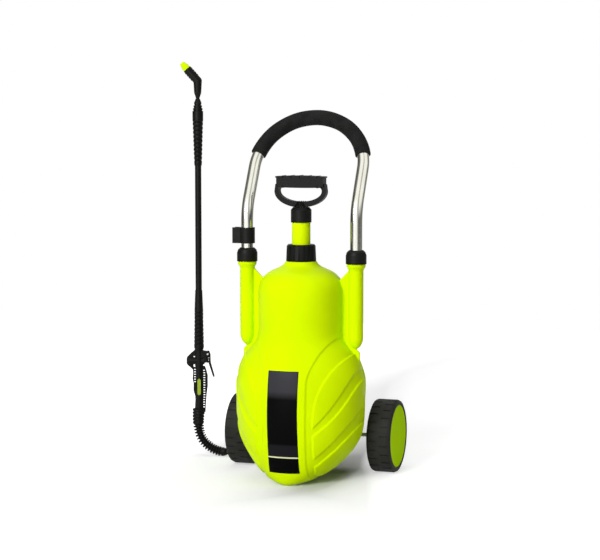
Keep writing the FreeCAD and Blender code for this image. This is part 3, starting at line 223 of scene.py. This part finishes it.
def nut_groove_shade(count):
    """1 on the lands of a grooved nut and 0 in its grooves, where the colour is painted shade."""
    def mask(shader):
        axes = shader.axes()
        bearing = shader.math("ARCTAN2", axes["Y"], axes["X"])
        wave = shader.math("COSINE", shader.math("MULTIPLY", bearing, count))
        return shader.between(wave, (0.85, 0.4))
    return mask


def sleeve_groove_shade(low, pitch, count):
    """1 on the rings of a tapered sleeve and 0 between them, over its ringed length; the colour between them
    is painted shade.
    """
    def mask(shader):
        ring_number = shader.between(shader.axes()["Z"], (low * MM, (low + pitch) * MM), clamp=False)
        share = shader.math("FRACT", ring_number)
        ring = shader.ramp(share, ((0, 0.1), (0.22, 1), (0.66, 1), (0.76, 0), (0.92, 0), (1, 0.1)))
        below = shader.math("LESS_THAN", ring_number, 0)
        above = shader.math("GREATER_THAN", ring_number, count)
        return shader.largest(ring, below, above)
    return mask


def tyre_rubber(name):
    shader = Shader(name, rough=0.62, specular=0.12)
    shader.tint(0.3, (0.014, 0.0145, 0.012), 0.75, (0.026, 0.0265, 0.023), scale=22, detail=5)
    fine = shader.noise(scale=520, detail=4)
    shader.roughness(fine, 0.55, 0.75)
    shader.bump(fine, strength=0.35, distance=0.0005)
    return shader.material


def foam_skin(name):
    """Closed-cell foam: dull, with fine cells and a few larger ones."""
    shader = Shader(name, rough=0.8, specular=0.1)
    shader.tint(0.3, (0.006, 0.006, 0.006), 0.75, (0.014, 0.014, 0.0136), scale=60, detail=5)
    cells = shader.add("ShaderNodeTexVoronoi", {"Scale": 900})
    shader.wire(shader.coords.outputs["Object"], cells, "Vector")
    small = shader.bump(cells.outputs["Distance"], strength=0.45, distance=0.0006)
    shader.bump(shader.noise(scale=150, detail=4), strength=0.3, distance=0.0012, after=small)
    return shader.material


def hose_rubber(name):
    shader = Shader(name, rough=0.5, specular=0.14)
    shader.tint(0.3, (0.007, 0.007, 0.007), 0.75, (0.015, 0.015, 0.015), scale=45, detail=3)
    shader.bump(shader.noise(scale=400, detail=3), strength=0.2, distance=0.0004)
    return shader.material


def polished_steel(name, rough=0.14, color=(0.93, 0.92, 0.88)):
    """Drawn and polished tube: streaks along its length and faint smudges."""
    shader = Shader(name, rough, metal=1.0)
    shader.surface.inputs["Specular Tint"].default_value = (0.85, 0.85, 0.82, 1)
    shader.tint(0.3, shaded(color, 0.9), 0.7, color, scale=26, detail=4)
    streaks = shader.noise(scale=90, detail=4, stretch=(9, 9, 0.6))
    shader.roughness(streaks, rough - 0.03, rough + 0.05)
    shader.bump(streaks, strength=0.015, distance=0.0003)
    return shader.material


def label_film(name):
    """Glossy printed film: black, with a soft grey sheen at the top and over a thin pale rule; no words."""
    shader = Shader(name, rough=0.32, specular=0.03)
    foot = 20
    top = 240

    def at(level):
        return (level - foot) / (top - foot)

    black = (0.0012, 0.0012, 0.0014)
    dim = (0.010, 0.010, 0.012)
    grey = (0.036, 0.036, 0.041)
    rule = (0.72, 0.74, 0.45)
    bands = ((0, black), (at(60.2), black), (at(60.3), rule), (at(62.1), rule), (at(62.2), dim),
             (at(85), dim), (at(88), black), (at(178), black), (at(194), grey), (1, grey))
    height = shader.between(shader.axes()["Z"], (foot * MM, top * MM))
    shader.give(shader.ramp(height, bands), "Base Color")
    fine = shader.noise(scale=300, detail=3)
    shader.roughness(fine, 0.28, 0.38)
    shader.bump(fine, strength=0.06, distance=0.0003)
    return shader.material


MATERIALS = {
    "tank_lime": lime_plastic("tank_skin", (0.655, 0.90, 0.0006)),
    "pump_lime": lime_plastic("pump_skin", (0.66, 0.88, 0.002)),
    "disc_lime": lime_plastic("disc_skin", (0.60, 0.98, 0.0006), rough=0.6, specular=0.01),
    "badge_lime": lime_plastic("accent_skin", (0.62, 0.90, 0.001)),
    "black_plastic": black_plastic("black_moulding"),
    "tyre_black": tyre_rubber("tyre_tread"),
    "steel_tube": polished_steel("polished_tube"),
    "steel_small": polished_steel("bright_steel", rough=0.28, color=(0.55, 0.55, 0.54)),
    "foam_black": foam_skin("foam_cells"),
    "hose_black": hose_rubber("hose_skin"),
    "seal_rubber": hose_rubber("seal_skin"),
}
# nodes that look a little different from the others of their slot
OWN = {
    "grip_badge": lime_plastic("inlay_skin", (0.34, 0.45, 0.045)),
    # painted shade in the grooves of the nut
    "pump_nut": black_plastic("nut_moulding", ribs=nut_groove_shade(18)),
    # painted shade: the bow and the bar get darker copies of the black moulding
    "pump_bow": black_plastic("bow_moulding_shaded", (0.0022, 0.0022, 0.0022)),
    "pump_grip": black_plastic("bar_moulding_shaded", (0.0026, 0.0026, 0.0026)),
    # painted shade between the rings of the lance's upper and lower sleeves
    "lance_head": black_plastic("upper_sleeve_moulding", ribs=sleeve_groove_shade(low=638, pitch=9.2, count=10)),
    "lance_sleeve": black_plastic("lower_sleeve_moulding", ribs=sleeve_groove_shade(low=238.1, pitch=8.667, count=9)),
}
LABEL = label_film("label_panel")
# painted shade: near-black moulding that makes the small ribs read as shaded notches
NOTCH_SHADE = black_plastic("painted_notch_shade", (0.0012, 0.0012, 0.0012), rough=0.6)


def dress_nodes():
    """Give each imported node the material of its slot, or its own."""
    slots = {part["node"]: part["material_slot"] for part in frame["record"]["subparts"]}
    for name, obj in NODES.items():
        material = OWN.get(name) or MATERIALS[slots[name]]
        for used in obj.material_slots:
            used.material = material


# Mesh helpers

def mesh_object(name, vertices, faces, material, body, smooth=True):
    """A mesh in world metres that rides a body, or none for a piece of the stage."""
    mesh = bpy.data.meshes.new(name)
    mesh.from_pydata([tuple(v) for v in vertices], [], faces)
    mesh.update()
    obj = bpy.data.objects.new(name, mesh)
    bpy.context.scene.collection.objects.link(obj)
    obj.data.materials.append(material)
    for polygon in mesh.polygons:
        polygon.use_smooth = smooth
    if body:
        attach(obj, body)
    return obj


def modifier(obj, kind, name, **values):
    made = obj.modifiers.new(name, kind)
    for key, value in values.items():
        setattr(made, key, value)


def ring_quads(rings, sides, closed=False):
    """Corners of the quads between rings of points: two on a ring, then the two beside them on the next."""
    quads = []
    for ring in range(rings if closed else rings - 1):
        after = (ring + 1) % rings
        for k in range(sides):
            beside = (k + 1) % sides
            quads.append((ring * sides + k, ring * sides + beside, after * sides + beside, after * sides + k))
    return quads


def along_x(a, depth, level):
    return Vector((depth, a, level))


def along_y(a, depth, level):
    return Vector((a, depth, level))


def prism(name, outline, depths, place, material, body):
    """Closed outline in millimetres between two depths, slightly rounded on its edges."""
    vertices = [place(a, depth, level) * MM for depth in depths for a, level in outline]
    count = len(outline)
    faces = [tuple(range(count)), tuple(reversed(range(count, 2 * count)))]
    for i in range(count):
        j = (i + 1) % count
        faces.append((i, i + count, j + count, j))
    piece = mesh_object(name, vertices, faces, material, body, smooth=False)
    modifier(piece, "BEVEL", "edges", width=0.0004, segments=2, limit_method="ANGLE")


# Tank

def soften_tank():
    """Round every moulded edge of the bottle, as blow moulding does."""
    tank = NODES["tank"]
    modifier(tank, "REMESH", "skin", mode="VOXEL", voxel_size=0.0016, adaptivity=0.0, use_smooth_shade=True)
    modifier(tank, "SMOOTH", "flow", factor=0.5, iterations=2)


def add_label():
    """Plain printed panel that lies on the tank's front."""
    tree = BVHTree.FromObject(NODES["tank"], bpy.context.evaluated_depsgraph_get())
    half_width = 31.8
    low = 28.5
    high = 234.5
    foot_middle = 0.4
    drift = 2.8
    drift_end = 0.625
    film = 0.35
    before_tank = -400
    columns = 24
    rows = 90
    vertices = []
    for row in range(rows + 1):
        share = row / rows
        level = low + (high - low) * share
        middle = foot_middle - drift * min(share / drift_end, 1)
        for column in range(columns + 1):
            x = middle + half_width * (2 * column / columns - 1)
            start = Vector((x, before_tank, level)) * MM
            hit, normal, _, _ = tree.ray_cast(start, Vector((0, 1, 0)), 1)
            vertices.append(hit + normal * (film * MM))
    faces = []
    for row in range(rows):
        for column in range(columns):
            a = row * (columns + 1) + column
            faces.append((a, a + 1, a + columns + 2, a + columns + 1))
    label = mesh_object("front_label", vertices, faces, LABEL, "cart")
    modifier(label, "SOLIDIFY", "film", thickness=0.0003, offset=-1)


# Hose

LANCE = Vector((-285.3, 158, 0))
LANCE_YAW = math.radians(18)
BEND_YAW = math.radians(2)
OUTLET = Vector((40, 132, 137.5))
HOSE_RADIUS = 5.5
ON_FLOOR = 5.6
COIL_CENTRE = Vector((-72, 222, ON_FLOOR))
COIL_OUTER = 72.1
COIL_PITCH = 11.6
COIL_TURNS = 4
POINTS_PER_TURN = 16


def bend_point(along, level, nearer=0):
    """A point of the bend under the lance; nearer brings it towards the front."""
    return Vector((LANCE.x + along * math.cos(BEND_YAW), LANCE.y + along * math.sin(BEND_YAW) - nearer,
                   level))


def coil_point(turn):
    """The coil winds inwards for half its turns, climbs one layer there and winds out again."""
    half = COIL_TURNS / 2
    radius = COIL_OUTER - COIL_PITCH * (half - abs(turn - half))
    climb = min(max((turn - half) * 2 + 0.5, 0), 1)
    level = COIL_CENTRE.z + COIL_PITCH * climb * climb * (3 - 2 * climb)
    angle = 2 * math.pi * turn - math.pi / 2
    return Vector((COIL_CENTRE.x + radius * math.cos(angle), COIL_CENTRE.y + radius * math.sin(angle), level))


def hose_route():
    """From the outlet to the floor, round the coil, along the floor and up to the lance."""
    lead = [OUTLET, (40, 132, 107), (34, 138, 77), (18, 144.5, 50), (-6.5, 149, 29), (-34, 150, 18.2)]
    coil = [coil_point(COIL_TURNS - i / POINTS_PER_TURN) for i in range(COIL_TURNS * POINTS_PER_TURN + 1)]
    tail = [(-102, 150.6, ON_FLOOR), (-120, 154, ON_FLOOR), (-140, 158.5, ON_FLOOR), (-163, 158, ON_FLOOR),
            (-186, 154.5, 7.6)]
    bend = [bend_point(77, 9.7, 10), bend_point(41, 10.9, 8), bend_point(10, 28.5, 3), bend_point(-4, 60),
            bend_point(-1.6, 94)]
    return [Vector(point) for point in lead + coil + tail + bend]


def add_hose():
    points = hose_route()
    curve = bpy.data.curves.new("hose", "CURVE")
    curve.dimensions = "3D"
    curve.resolution_u = 8
    curve.bevel_depth = HOSE_RADIUS * MM
    curve.bevel_resolution = 6
    curve.use_fill_caps = True
    spline = curve.splines.new("NURBS")
    spline.points.add(len(points) - 1)
    for point, place in zip(spline.points, points):
        point.co = (*(place * MM), 1)
    spline.order_u = 3
    spline.use_endpoint_u = True
    hose = bpy.data.objects.new("hose", curve)
    bpy.context.scene.collection.objects.link(hose)
    curve.materials.append(MATERIALS["hose_black"])
    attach(hose, "cart")
    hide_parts("hose_lead", "hose_coil", "hose_tail")
    return hose


def centreline(hose):
    """Points of the hose's own line, from the lance to the outlet."""
    plain = hose.data.copy()
    plain.bevel_depth = 0
    ghost = bpy.data.objects.new("ghost", plain)
    bpy.context.scene.collection.objects.link(ghost)
    bpy.context.view_layer.update()
    mesh = bpy.data.meshes.new_from_object(ghost.evaluated_get(bpy.context.evaluated_depsgraph_get()))
    points = [v.co.copy() for v in mesh.vertices]
    bpy.data.objects.remove(ghost)
    return list(reversed(points))


def place_on_line(line, distance):
    """Point and heading at a distance along a line of points, or straight on before its start."""
    if distance < 0:
        heading = (line[1] - line[0]).normalized()
        return line[0] + heading * distance, heading
    done = 0
    for a, b in zip(line, line[1:]):
        span = (b - a).length
        if done + span >= distance:
            return a.lerp(b, (distance - done) / span), (b - a).normalized()
        done += span
    return line[-1], (line[-1] - line[-2]).normalized()


def sleeve_profile():
    """Distance along the hose and radius of each ring of the strain relief, in millimetres."""
    profile = [(-8, 9.4), (-7.4, 12), (-7, 12.7)]
    first_ridge = -6.5
    ridges = 5
    ridge_pitch = 6.9
    groove_depth = 1.9
    for i in range(ridges):
        ridge = 13.6 - 0.25 * i
        groove = ridge - groove_depth
        for share, radius in ((0.0, ridge - 0.5), (0.12, ridge), (0.48, ridge), (0.58, groove),
                              (0.9, groove)):
            profile.append((first_ridge + ridge_pitch * (i + share), radius))
    first_fin = 29.5
    fins = 14
    fin_pitch = 6.1
    core = 6.5
    for i in range(fins):
        fin = 12.0 - 1.5 * i / (fins - 1)
        flank = fin - 1.8
        for share, radius in ((0.0, core), (0.12, flank), (0.22, fin), (0.46, fin), (0.58, flank),
                              (0.74, core)):
            profile.append((first_fin + fin_pitch * (i + share), radius))
    return profile + [(116, 9.6), (119, 9.4), (124, 8.2), (127, 6.6)]


def add_sleeve(hose):
    """Strain relief along the hose's bend: a ridged socket, fins on a round core and a short tapered end."""
    line = centreline(hose)
    profile = sleeve_profile()
    side = Vector((-math.sin(BEND_YAW), math.cos(BEND_YAW), 0))
    sides = 40
    vertices = []
    for distance, radius in profile:
        centre, heading = place_on_line(line, distance * MM)
        across = heading.cross(side).normalized()
        for k in range(sides):
            angle = 2 * math.pi * k / sides
            vertices.append(centre + (side * math.cos(angle) + across * math.sin(angle)) * (radius * MM))
    faces = [(a, d, c, b) for a, b, c, d in ring_quads(len(profile), sides)]
    faces.append(tuple(range(sides)))
    last = (len(profile) - 1) * sides
    faces.append(tuple(last + k for k in reversed(range(sides))))
    sleeve = mesh_object("ribbed_sleeve", vertices, faces, MATERIALS["black_plastic"], "cart")
    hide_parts("strain_relief")
    return sleeve


# Lance

def beside_lance(along, off, level):
    """A point from its place along the lance's plane and off it."""
    return Vector((LANCE.x + along * math.cos(LANCE_YAW) - off * math.sin(LANCE_YAW),
                   LANCE.y + along * math.sin(LANCE_YAW) + off * math.cos(LANCE_YAW), level))


def add_lance_webs():
    """Webs on the lance between the valve's cap and the grip, and cheeks beside the trigger."""
    upper = ((-8.4, 233), (-19.5, 223), (-26, 216.4), (-26, 214.6), (-12.2, 214.6), (-12.2, 217.8),
             (-8.4, 217.8))
    lower = ((-26, 200.4), (-25.6, 198.6), (-19.3, 193.6), (-13.4, 187.6), (-12.3, 188.4), (-12.3, 200.4))
    cheek = ((8, 216.5), (15.8, 216.5), (17.2, 206), (14, 203.4), (8, 203.4))
    web_half = 1.6
    cheek_inner = 5.1
    cheek_outer = 6.4
    for name, outline, depths in (
            ("cap_web_upper", upper, (-web_half, web_half)),
            ("cap_web_lower", lower, (-web_half, web_half)),
            ("trigger_cheek_front", cheek, (-cheek_outer, -cheek_inner)),
            ("trigger_cheek_rear", cheek, (cheek_inner, cheek_outer))):
        prism(name, outline, depths, beside_lance, MATERIALS["black_plastic"], "cart")


# Pump bar

def standing_strip(x, half_width, foot, top):
    return [(x - half_width, foot), (x + half_width, foot), (x + half_width, top), (x - half_width, top)]


def add_bar_lip():
    """Thin lip under the bar, which turns down round the arms of the bow."""
    half_length = 46.2
    fillet = 3.6
    fillet_level = 594
    half_depth = 11.8
    corner = []
    for i in range(7):
        turn = math.pi / 12 * i
        x = half_length - fillet + fillet * math.cos(turn)
        corner.append((x, fillet_level + fillet * math.sin(turn)))
    half = [(half_length, 600.3)] + corner + [(20, 597.1)]
    outline = half + [(0, 596.9)] + [(-x, level) for x, level in reversed(half)]
    prism("bar_lip", outline, (-half_depth, half_depth), along_y, OWN["pump_bow"], "pump_handle")


def add_bar_ribs():
    """Small ribs across the top of the bar, and one at each end of its lip; their near-black colour is
    painted shade.
    """
    bar_depths = (-12.7, 12.7)
    bar_foot = 616.8
    for i, (x, top) in enumerate(((-37, 621.9), (-18.4, 622.5), (0, 622.8), (18.4, 622.5), (37, 621.9))):
        prism("bar_rib_%d" % i, standing_strip(x, 0.9, bar_foot, top), bar_depths, along_y, NOTCH_SHADE,
              "pump_handle")
    lip_depths = (-12.5, 12.5)
    lip_foot = 596.6
    lip_top = 602.5
    for i, x in enumerate((-37, 37)):
        prism("lip_rib_%d" % i, standing_strip(x, 0.8, lip_foot, lip_top), lip_depths, along_y, NOTCH_SHADE,
              "pump_handle")


def add_neck_webs():
    """Upright webs in front of and behind the bow's neck, whose outer edges lie on a cone."""
    foot = 558.4
    top = 570
    foot_radius = 16.2
    top_radius = 10.6
    neck = 6
    half_width = 0.65
    for i, x in enumerate((-6.3, -2.1, 2.1, 6.3)):
        wide = math.sqrt(foot_radius ** 2 - x * x)
        slim = math.sqrt(top_radius ** 2 - x * x)
        for side, where in ((-1, "front"), (1, "rear")):
            outline = [(side * neck, foot), (side * wide, foot), (side * slim, top), (side * neck, top)]
            prism("neck_web_%d_%s" % (i, where), outline, (x - half_width, x + half_width), along_x,
                  OWN["pump_bow"], "pump_handle")


# Foam grip

def add_foam():
    """Foam tube on the arch, a little fuller in places and rounded at its cut ends."""
    lean = math.radians(29.5)
    slope = Vector((0, math.sin(lean), math.cos(lean)))
    normal = Vector((0, math.cos(lean), -math.sin(lean)))
    centre = Vector((0, 0, 553)) + slope * 96.5
    spread = 117
    end = math.radians(14.3)
    inner = 12.7
    outer = 16
    edge = 1.6
    bulge = 0.12
    arc = (math.pi - 2 * end) * spread
    steps = 120
    sides = 48
    rings = [(0, inner), (0, outer - edge), (0.5, outer - 0.6), (edge, outer)]
    rings += [(edge + (arc - 2 * edge) * i / steps, outer) for i in range(1, steps)]
    rings += [(arc - edge, outer), (arc - 0.5, outer - 0.6), (arc, outer - edge), (arc, inner)]
    rings += [(arc * (1 - i / steps), inner) for i in range(1, steps)]
    vertices = []
    for distance, radius in rings:
        angle = end + distance / spread
        radial = Vector((math.cos(angle), 0, 0)) + slope * math.sin(angle)
        place = centre + radial * spread
        for k in range(sides):
            turn = 2 * math.pi * k / sides
            swell = 0
            if radius == outer:
                swell = bulge * math.sin(distance * 0.11 + 2 * math.sin(turn))
            offset = (radial * math.cos(turn) + normal * math.sin(turn)) * (radius + swell)
            vertices.append((place + offset) * MM)
    faces = ring_quads(len(rings), sides, closed=True)
    foam = mesh_object("foam_sleeve", vertices, faces, MATERIALS["foam_black"], "transport_handle")
    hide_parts("foam_grip")


# Studio

def distance_along(graph, direction):
    """Distance from the cart along one direction of the floor, in metres."""
    dot = graph.add("ShaderNodeVectorMath", {1: direction})
    dot.operation = "DOT_PRODUCT"
    graph.wire(graph.coords.outputs["Object"], dot, 0)
    return dot.outputs["Value"]


def distance_in_ellipse(graph, offset, scale):
    mapping = graph.add("ShaderNodeMapping", {"Location": offset, "Scale": scale})
    graph.wire(graph.coords.outputs["Object"], mapping, "Vector")
    length = graph.add("ShaderNodeVectorMath")
    length.operation = "LENGTH"
    graph.wire(mapping.outputs["Vector"], length, 0)
    return length.outputs["Value"]


def add_floor():
    """Pale floor that fades to white away from the cart and keeps its shadow; its glow dips near the cart as
    painted shade.
    """
    material = bpy.data.materials.new("studio_floor")
    material.use_nodes = True
    graph = Graph(material.node_tree)
    # painted shade: the glow falls to nothing close to the cart, in front of it and to its right
    near = graph.ramp(distance_in_ellipse(graph, (-0.0793, -0.0171, 0), (1.586, 0.343, 1)), (
        (0.045, 0.0), (0.065, 0.04), (0.082, 0.16), (0.107, 0.25), (0.143, 0.33), (0.19, 0.38), (0.29, 0.46),
        (0.5, 0.52), (0.75, 0.85), (0.93, 1.0)))
    right = graph.ramp(distance_along(graph, (0.97, 0.245, 0)), (
        (0.115, 0.0), (0.13, 0.3), (0.15, 0.5), (0.17, 0.58), (0.23, 0.68), (0.5, 0.8), (0.9, 1.0)))
    front = graph.ramp(distance_along(graph, (0.31, -0.951, 0)), (
        (0.13, 0.0), (0.17, 0.13), (0.2, 0.26), (0.24, 0.38), (0.3, 0.43), (0.5, 0.5), (1, 0.9)))
    glow = graph.add("ShaderNodeEmission")
    graph.wire(graph.largest(near, right, front), glow, "Color")
    diffuse = graph.add("ShaderNodeBsdfDiffuse", {"Color": rgba(0.6)})
    both = graph.add("ShaderNodeAddShader")
    graph.wire(diffuse.outputs["BSDF"], both, 0)
    graph.wire(glow.outputs["Emission"], both, 1)
    surface = graph.mix_shaders(graph.seen_directly(graph.light_path()), diffuse.outputs["BSDF"],
                                both.outputs["Shader"])
    graph.wire(surface, graph.add("ShaderNodeOutputMaterial"), "Surface")
    half = 2.6
    corners = [(-half, -half, 0), (half, -half, 0), (half, half, 0), (-half, half, 0)]
    floor = mesh_object("studio_floor", corners, [(0, 1, 2, 3)], material, None, smooth=False)


def add_world(scene):
    """Soft white room. Gloss also sees the dark flags that stand at its sides."""
    world = bpy.data.worlds.new("studio")
    scene.world = world
    world.use_nodes = True
    graph = Graph(world.node_tree)
    axes = graph.axes("Generated")
    bearing = graph.math("ARCTAN2", axes["X"], graph.math("MULTIPLY", axes["Y"], -1))
    share = graph.between(bearing, (-math.pi, math.pi))
    low_flags = ((0.12, 1), (0.17, 0.08), (0.36, 0.08), (0.41, 1), (0.585, 1), (0.62, 0.14), (0.7, 0.1),
                 (0.8, 0.17), (0.91, 0.17), (0.95, 0.8))
    high_flags = ((0.12, 1), (0.16, 0.13), (0.31, 0.16), (0.35, 1), (0.56, 1), (0.59, 0.42), (0.63, 0.42),
                  (0.66, 1), (0.8, 1), (0.85, 0.22), (0.99, 0.22))
    layers = []
    for flags in (low_flags, high_flags):
        warm = tuple((position, (tone, tone, 0.92 * tone)) for position, tone in flags)
        layers.append(graph.ramp(share, ((0, 1), *warm, (1, 1))))
    room = graph.mix(graph.between(axes["Z"], (0.05, 0.4)), *layers)
    path = graph.light_path()
    light = graph.add("ShaderNodeBackground", {"Color": rgba(1), "Strength": 0.14})
    white = graph.add("ShaderNodeBackground", {"Strength": 1})
    graph.wire(graph.mix(path["Is Glossy Ray"], rgba(1), room), white, "Color")
    surface = graph.mix_shaders(graph.seen_directly(path), light.outputs["Background"],
                                white.outputs["Background"])
    graph.wire(surface, graph.add("ShaderNodeOutputWorld"), "Surface")


def add_lamp(scene, name, place, target, size, power, in_gloss=True):
    data = bpy.data.lights.new(name, "AREA")
    data.shape = "RECTANGLE"
    data.size, data.size_y = size
    data.energy = power
    lamp = bpy.data.objects.new(name, data)
    scene.collection.objects.link(lamp)
    lamp.location = place
    lamp.rotation_euler = (Vector(target) - Vector(place)).to_track_quat("-Z", "Y").to_euler()
    lamp.visible_glossy = in_gloss


def add_camera(scene):
    """The photograph's camera, solved from the cart's own sizes."""
    sensor = 36
    photo_width = 600
    focal_pixels = 1814.23
    distance = 3719.18
    target = Vector((-2.55, 0, 407.82)) * MM
    azimuth = math.radians(17.79)
    elevation = math.radians(5.48)
    data = bpy.data.cameras.new("camera")
    data.sensor_width = sensor
    data.sensor_fit = "HORIZONTAL"
    data.lens = focal_pixels * sensor / photo_width
    camera = bpy.data.objects.new("camera", data)
    scene.collection.objects.link(camera)
    away = Vector((math.sin(azimuth) * math.cos(elevation), -math.cos(azimuth) * math.cos(elevation),
                   math.sin(elevation)))
    camera.location = target + away * (distance * MM)
    camera.rotation_euler = (target - camera.location).to_track_quat("-Z", "Y").to_euler()
    scene.camera = camera


def studio():
    scene = bpy.context.scene
    add_floor()
    add_world(scene)
    add_lamp(scene, "key", place=(-0.6, -2.64, 1.5), target=(0, 0, 0.35), size=(1.2, 1.5), power=87)
    add_lamp(scene, "fill", place=(2.4, 0.1, 0.7), target=(0.15, 0.1, 0.1), size=(0.8, 0.8), power=6,
             in_gloss=False)
    add_lamp(scene, "top", place=(0, 0.4, 2.6), target=(0, 0, 0.3), size=(2.2, 2.2), power=22)
    add_camera(scene)
    scene.view_settings.view_transform = "Standard"


dress_nodes()
soften_tank()
add_label()
hose = add_hose()
sleeve = add_sleeve(hose)
add_foam()
add_bar_lip()
add_bar_ribs()
add_neck_webs()
add_lance_webs()
studio()
